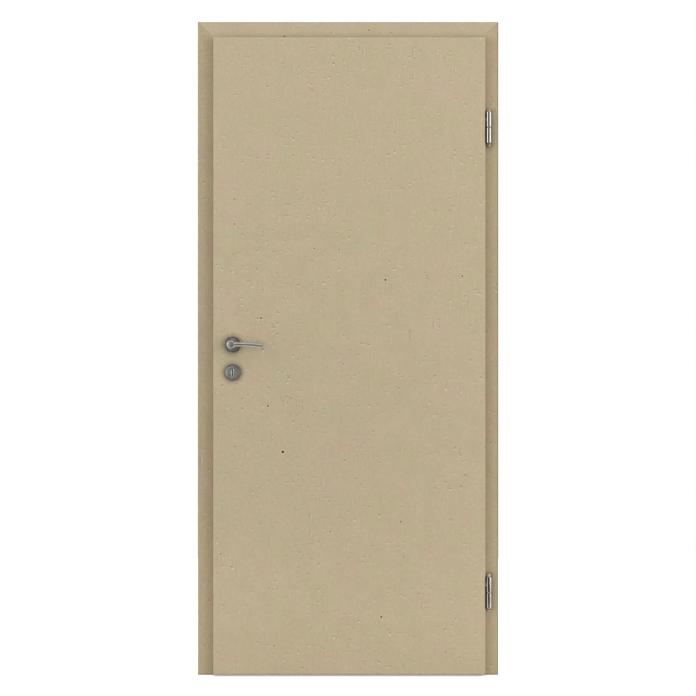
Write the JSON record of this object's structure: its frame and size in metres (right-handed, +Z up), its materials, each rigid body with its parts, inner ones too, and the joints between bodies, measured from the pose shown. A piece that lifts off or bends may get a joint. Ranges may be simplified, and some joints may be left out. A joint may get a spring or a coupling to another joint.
{
  "type": "interior door with its lining frame",
  "caption": "Rebated flush interior door leaf in a mitred wrap-around lining frame, on barrel hinges, with a lever on a round rose and a round key rose.",
  "frame": {"origin": "outer face of the hinge-side lining, at the floor, in the middle of the wall's thickness", "axes": "+X along the wall from the latch side to the hinge side, +Y from the room the leaf opens into through the wall, +Z up"},
  "size_m": [0.954, 0.2385, 2.072],
  "materials": {
    "board": "matte",
    "seal_rubber": "matte",
    "satin_metal": "satin",
    "bright_metal": "polished",
    "plain_steel": "satin"
  },
  "bodies": {
    "frame": {"lining_latch_side": "board", "lining_hinge_side": "board", "lining_head": "board", "casing_front_latch_side": "board", "casing_front_hinge_side": "board", "casing_front_head": "board", "casing_back_latch_side": "board", "casing_back_hinge_side": "board", "casing_back_head": "board", "seal_latch_side": "seal_rubber", "seal_hinge_side": "seal_rubber", "seal_head": "seal_rubber", "strike_plate": "plain_steel", "hinge_lower_frame_part": "bright_metal", "hinge_lower_pin": "plain_steel", "hinge_lower_cap_bottom": "bright_metal", "hinge_upper_frame_part": "bright_metal", "hinge_upper_pin": "plain_steel", "hinge_upper_cap_bottom": "bright_metal"},
    "leaf": {"leaf": "board", "lock_faceplate": "plain_steel", "latch_bolt": "plain_steel", "dead_bolt": "plain_steel", "hinge_lower_leaf_part": "bright_metal", "hinge_lower_cap_top": "bright_metal", "hinge_upper_leaf_part": "bright_metal", "hinge_upper_cap_top": "bright_metal", "lever_rose_front": "satin_metal", "lever_rose_back": "satin_metal", "key_rose_front": "satin_metal", "key_rose_back": "satin_metal"},
    "handle": {"lever_front": "satin_metal", "lever_back": "satin_metal", "handle_spindle": "plain_steel"}
  },
  "joints": [
    {"name": "leaf_swing", "type": "hinge", "parent": "frame", "child": "leaf", "pos_m": [0.02, -0.09775, 0], "axis": [0, 0, 1], "range_deg": [0, 175]},
    {"name": "handle_turn", "type": "hinge", "parent": "leaf", "child": "handle", "pos_m": [-0.789, -0.0855, 1.048], "axis": [0, 1, 0], "range_deg": [0, 40], "stiffness_Nm_per_rad": 1.5, "springref_deg": -20.05}
  ]
}
